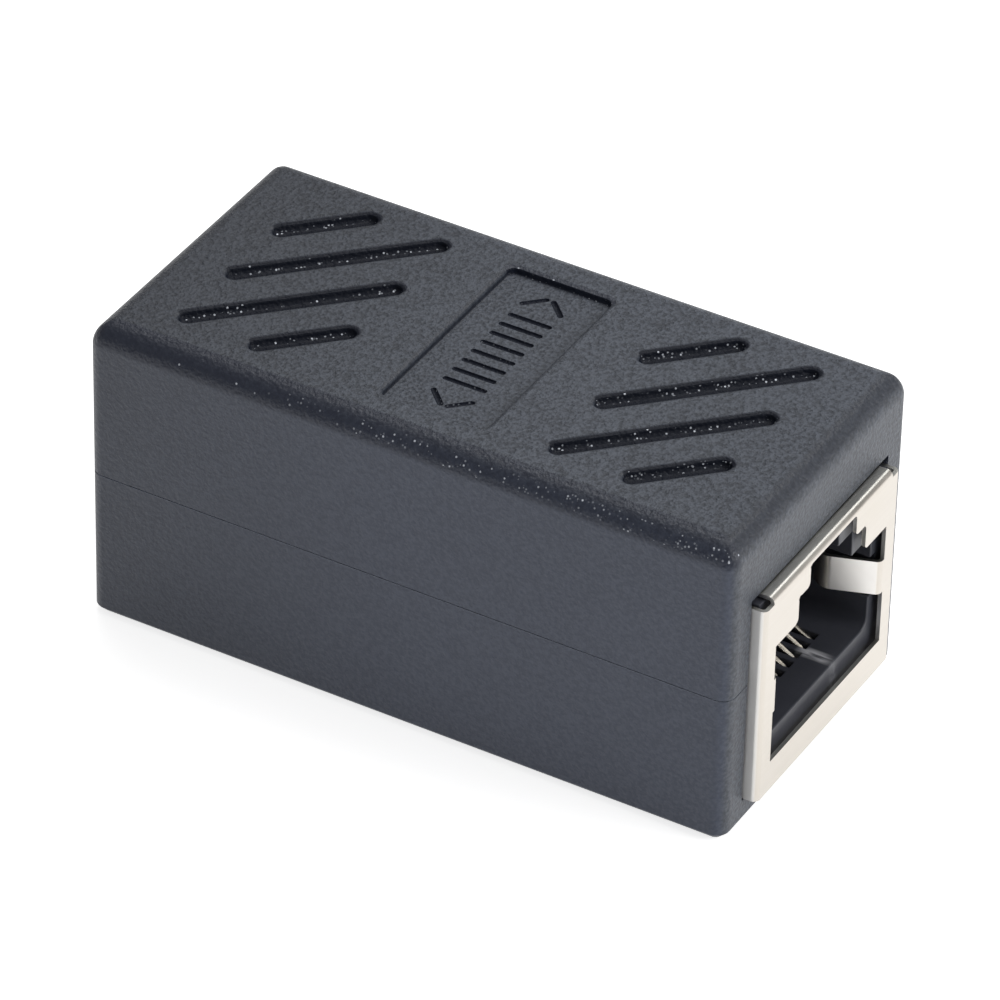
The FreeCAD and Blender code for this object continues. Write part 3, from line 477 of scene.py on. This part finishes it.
def label_loop(inset):
    """The outline of the label recess, moved inwards."""
    radius = max(LABEL_CORNER - inset, LABEL_CORNER_LEAST)
    x, y = LABEL_HALF_X - inset - radius, LABEL_HALF_Y - inset - radius
    corners = (((x, -y), -90), ((x, y), 0), ((-x, y), 90), ((-x, -y), 180))
    return [point for middle, start in corners
            for point in arc(middle, radius, start, start + 90, LABEL_CORNER_STEPS)]


def groove_lines():
    """The middle line of each groove, from end to end. It slants at 45 degrees, from one side of
    its group to another."""
    inset = (GROOVE_RADIUS + GROOVE_SHORTER) / math.sqrt(2)
    for group in (-GRIP_DISTANCE, GRIP_DISTANCE):
        for line in GROOVE_LINES:
            shift = line * GROOVE_PITCH * math.sqrt(2)
            low = max(-GRIP_HALF_X, -GRIP_HALF_Y - shift) + inset
            high = min(GRIP_HALF_X, GRIP_HALF_Y - shift) - inset
            yield [(group + along - GROOVE_SHIFT, along + shift + GROOVE_SHIFT)
                   for along in (low, high)]


def groove_levels(start, end, radius, depth, rim, top=0.0, steps=GROOVE_STEPS):
    """Outlines of a groove from its soft rim to its bottom, each with its depth under the roof. The
    rim falls half as far as it is wide."""
    drop = rim / 2
    for turn in map(math.radians, RIM_STEPS):
        width = radius + rim * (1 - math.sin(turn))
        yield stadium(start, end, width, steps), top + drop * (1 - math.cos(turn))
    for turn in map(math.radians, BOWL_STEPS):
        width = max(radius * math.cos(turn), BOWL_LEAST)
        yield stadium(start, end, width, steps), top + drop + (depth - drop) * math.sin(turn)


def label_levels():
    """Outlines of the label recess, from its soft rim down a leaning wall to its floor."""
    for turn in map(math.radians, RIM_STEPS):
        yield label_loop(-RIM * (1 - math.sin(turn))), RIM / 2 * (1 - math.cos(turn))
    foot = LABEL_DEPTH - LABEL_FOOT
    for turn in map(math.radians, RIM_STEPS):
        yield label_loop(LABEL_FOOT * (1 - math.cos(turn))), foot + LABEL_FOOT * math.sin(turn)


def sign_strokes():
    """The short strokes of the sign: a row of eight bars between two broken chevrons."""
    for count in range(CONTACTS):
        y = (count - (CONTACTS - 1) / 2) * BAR_PITCH
        yield (-BAR_HALF, y), (BAR_HALF, y)
    for side in (-1, 1):
        for hand in (-1, 1):
            yield (hand * BAR_HALF, side * CHEVRON_FOOT), (hand * CHEVRON_GAP, side * CHEVRON_TIP)


def inside(point, loop):
    """Whether a point lies inside a closed outline."""
    hit = False
    x, y = point
    for (x0, y0), (x1, y1) in zip(loop, loop[1:] + loop[:1]):
        if (y0 > y) != (y1 > y) and x < (x1 - x0) * (y - y0) / (y1 - y0) + x0:
            hit = not hit
    return hit


def add_loop(shape, loop, depth):
    """Add the corners of an outline at a depth under the roof."""
    return [shape.verts.new((x * MM, y * MM, (ROOF - depth) * MM)) for x, y in loop]


def loft(shape, rings):
    """Join each ring of corners to the next by four-sided faces."""
    for upper, lower in zip(rings, rings[1:]):
        for step in range(len(upper)):
            following = (step + 1) % len(upper)
            shape.faces.new((upper[step], upper[following], lower[following], lower[step]))


def sink(shape, levels, closed=True):
    """Loft a feature down into the roof. Gives its uppermost and lowest corners and its outline."""
    rings = [add_loop(shape, loop, depth) for loop, depth in levels]
    loft(shape, rings)
    if closed:
        shape.faces.new(rings[-1])
    return rings[0], rings[-1], levels[0][0]


def fill(shape, border, holes):
    """Fill a level outline with faces, round the features that are sunk into it."""
    corners, edges = [], []
    for ring in [border] + [top for top, _, _ in holes]:
        first, count = len(corners), len(ring)
        edges += [(first + step, first + (step + 1) % count) for step in range(count)]
        corners += ring
    flat_places = [Vector((corner.co.x / MM, corner.co.y / MM)) for corner in corners]
    places, _, faces, origins, _, _ = delaunay_2d_cdt(flat_places, edges, [], 0, 1e-6)
    outline = [(corner.co.x / MM, corner.co.y / MM) for corner in border]
    for face in faces:
        middle = sum((places[index] for index in face), Vector((0, 0))) / 3
        if inside(middle, outline) and not any(inside(middle, hole) for _, _, hole in holes):
            shape.faces.new([corners[origins[index][0]] for index in face])


def roof_border(shape):
    """The open edge that is left round the roof, in order."""
    edges = [edge for edge in shape.edges if edge.is_boundary]
    border = [edges[0].verts[0], edges[0].verts[1]]
    left = set(edges[1:])
    while left:
        step = next(edge for edge in left if border[-1] in edge.verts)
        left.discard(step)
        border.append(step.other_vert(border[-1]))
    return border[:-1]


def rebuild_roof(shape):
    """Take the flat roof with its grooves and recess away, and close it with soft-edged ones."""
    def is_rebuilt(place):
        return (place.z > (ROOF - REBUILT_DEPTH) * MM
                and abs(place.x) < (ROOF_HALF_X + REBUILT_SLACK) * MM
                and abs(place.y) < (ROOF_HALF_Y + REBUILT_SLACK) * MM)

    old = [face for face in shape.faces if all(is_rebuilt(corner.co) for corner in face.verts)]
    bmesh.ops.delete(shape, geom=old, context="FACES")
    border = roof_border(shape)
    label = sink(shape, list(label_levels()), closed=False)
    grooves = [sink(shape, list(groove_levels(*line, GROOVE_RADIUS, GROOVE_DEPTH, RIM)))
               for line in groove_lines()]
    fill(shape, border, grooves + [label])
    strokes = [sink(shape, list(groove_levels(*line, STROKE_RADIUS, STROKE_DEPTH, STROKE_RIM,
                                              top=LABEL_DEPTH, steps=STROKE_STEPS)))
               for line in sign_strokes()]
    _, label_floor, _ = label
    fill(shape, label_floor, strokes)
    bmesh.ops.recalc_face_normals(shape, faces=shape.faces)


# The object's pieces. Edges that turn by more than the smooth angle stay sharp and are bevelled,
# faces that turn by less than the flat angle become one, and corners turn by more than the corner
# angle.

SMOOTH_ANGLE = math.radians(35)
FLAT_ANGLE = math.radians(0.3)
CORNER_ANGLE = math.radians(80)


def show(thing):
    """Put an object into the scene."""
    bpy.context.scene.collection.objects.link(thing)


def clean_copy(node, reshape=None):
    """A copy of a CAD node's mesh with its seams welded and its flat stretches joined into single
    faces."""
    shape = bmesh.new()
    shape.from_mesh(frame["nodes"][node].data)
    bmesh.ops.remove_doubles(shape, verts=shape.verts, dist=WELD * MM)
    if reshape:
        reshape(shape)
    bmesh.ops.dissolve_limit(shape, angle_limit=FLAT_ANGLE, verts=shape.verts, edges=shape.edges)
    mesh = bpy.data.meshes.new(node)
    shape.to_mesh(mesh)
    shape.free()
    if "custom_normal" in mesh.attributes:
        mesh.attributes.remove(mesh.attributes["custom_normal"])
    mesh.shade_smooth()
    mesh.set_sharp_from_angle(angle=SMOOTH_ANGLE)
    return mesh


def dress(node, name, edge, segments=2, reshape=None):
    """Replace a CAD node by a copy of it with the material of its slot and edges rounded by so many
    millimetres."""
    piece = bpy.data.objects.new(name, clean_copy(node, reshape))
    show(piece)
    piece.data.materials.clear()
    piece.data.materials.append(MATERIALS[SLOT_OF[node]])
    bevel = piece.modifiers.new("soft_edges", "BEVEL")
    bevel.width = edge * MM
    bevel.segments = segments
    bevel.limit_method = "ANGLE"
    bevel.angle_limit = SMOOTH_ANGLE
    bevel.use_clamp_overlap = True
    even = piece.modifiers.new("even_shading", "WEIGHTED_NORMAL")
    even.keep_sharp = True
    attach(piece, "root")
    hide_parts(node)


def round_opening(shape):
    """Round the stepped corners of the opening for the latch: short, sharp edges that run straight
    through the sheet at its front."""
    slack = 0.001

    def is_corner(edge):
        first, second = (corner.co / MM for corner in edge.verts)
        through = abs(first.x - second.x)
        middle = (first + second) / 2
        return ((first - second).length - through < slack and THROUGH_LEAST < through < THROUGH_MOST
                and abs(middle.x) > OPENING_FRONT and abs(middle.y) < OPENING_HALF
                and len(edge.link_faces) == 2 and edge.calc_face_angle(0.0) > CORNER_ANGLE)

    corners = [edge for edge in shape.edges if is_corner(edge)]
    bmesh.ops.bevel(shape, geom=corners, offset=OPENING_ROUND * MM, offset_type="OFFSET",
                    segments=4, profile=0.5, affect="EDGES", clamp_overlap=True)


def dress_all():
    dress("top_shell", "top_shell_moulding", edge=SHELL_EDGE, reshape=rebuild_roof)
    dress("bottom_shell", "bottom_shell_moulding", edge=SHELL_EDGE)
    dress("circuit_board", "board", edge=0.03)
    for jack in JACKS:
        dress(f"{jack}_shield", f"{jack}_shield_sheet", edge=0.03, reshape=round_opening)
        dress(f"{jack}_rear_cover", f"{jack}_rear_sheet", edge=0.03)
        dress(f"{jack}_housing", f"{jack}_jack_body", edge=0.06)
        dress(f"{jack}_contact_carrier", f"{jack}_wire_guide", edge=0.04)
        for count in range(1, CONTACTS + 1):
            dress(f"{jack}_contact_{count}", f"{jack}_wire_{count}", edge=0.09, segments=3)


# Floor, lamps and camera

def floor():
    """A pale floor that shows white to the camera and keeps the object's shadow."""
    mesh = bpy.data.meshes.new("floor")
    corners = [(x * FLOOR_HALF * MM, y * FLOOR_HALF * MM, -FLOOR_DROP * MM)
               for x, y in ((-1, -1), (1, -1), (1, 1), (-1, 1))]
    mesh.from_pydata(corners, [], [(0, 1, 2, 3)])
    plane = bpy.data.objects.new("floor", mesh)
    show(plane)
    n = Nodes("floor_paint")
    paint = n.add("ShaderNodeBsdfDiffuse")
    tone = n.noise(0.4)
    n.put(paint.inputs["Color"], n.blend(tone, (0.80, 0.80, 0.80, 1), (0.82, 0.82, 0.82, 1)))
    glow = n.add("ShaderNodeEmission")
    path = n.add("ShaderNodeLightPath")
    to_camera = n.times(path.outputs["Is Camera Ray"], CAMERA_GLOW)
    to_gloss = n.times(path.outputs["Is Glossy Ray"], GLOSSY_GLOW)
    n.put(glow.inputs["Strength"], n.math("ADD", to_camera, to_gloss))
    both = n.add("ShaderNodeAddShader")
    n.join(paint.outputs[0], both.inputs[0])
    n.join(glow.outputs[0], both.inputs[1])
    n.join(both.outputs[0], n.output.inputs["Surface"])
    mesh.materials.append(n.material)


def world():
    """Even light from all round, white where the camera sees past the floor."""
    sky = bpy.data.worlds.new("studio")
    sky.use_nodes = True
    tree = sky.node_tree
    background = tree.nodes["Background"]
    background.inputs["Color"].default_value = (1, 1, 1, 1)
    path = tree.nodes.new("ShaderNodeLightPath")
    strength = tree.nodes.new("ShaderNodeMapRange")
    strength.inputs["To Min"].default_value = WORLD_LIGHT
    strength.inputs["To Max"].default_value = 1.0
    tree.links.new(path.outputs["Is Camera Ray"], strength.inputs["Value"])
    tree.links.new(strength.outputs[0], background.inputs["Strength"])
    bpy.context.scene.world = sky


def direction(azimuth, elevation):
    """The unit vector from the object to a lamp or camera. Azimuth 0 is in front, towards -Y."""
    a, e = math.radians(azimuth), math.radians(elevation)
    return Vector((math.sin(a) * math.cos(e), -math.cos(a) * math.cos(e), math.sin(e)))


def lamp(name, azimuth, elevation, distance, size, power):
    """A square soft box that looks at the object, with its distance and size in metres."""
    light = bpy.data.lights.new(name, "AREA")
    light.size = size
    light.energy = power
    place = bpy.data.objects.new(name, light)
    back = direction(azimuth, elevation)
    place.location = VIEW_TARGET + back * distance
    place.rotation_mode = "QUATERNION"
    place.rotation_quaternion = (-back).to_track_quat("-Z", "Y")
    show(place)


def lamps():
    lamp("roof_box", azimuth=190, elevation=62, distance=0.6, size=0.45, power=1.85)
    lamp("right_box", azimuth=100, elevation=30, distance=0.5, size=0.25, power=1.15)


def camera():
    """The photograph's camera."""
    lens = bpy.data.cameras.new("photo_camera")
    lens.sensor_width = SENSOR
    lens.lens = SENSOR * FOCAL_OVER_SENSOR
    eye = bpy.data.objects.new("photo_camera", lens)
    azimuth, roll = math.radians(VIEW_AZIMUTH), math.radians(VIEW_ROLL)
    back = direction(VIEW_AZIMUTH, VIEW_ELEVATION)
    level = Vector((math.cos(azimuth), math.sin(azimuth), 0))
    above = back.cross(level)
    right = level * math.cos(roll) + above * math.sin(roll)
    up = above * math.cos(roll) - level * math.sin(roll)
    eye.rotation_mode = "QUATERNION"
    eye.rotation_quaternion = Matrix((right, up, back)).transposed().to_quaternion()
    eye.location = VIEW_TARGET + back * VIEW_DISTANCE
    lens.clip_start, lens.clip_end = 0.01, 50
    show(eye)
    bpy.context.scene.camera = eye


dress_all()
floor()
world()
lamps()
camera()
bpy.context.scene.view_settings.view_transform = "Standard"
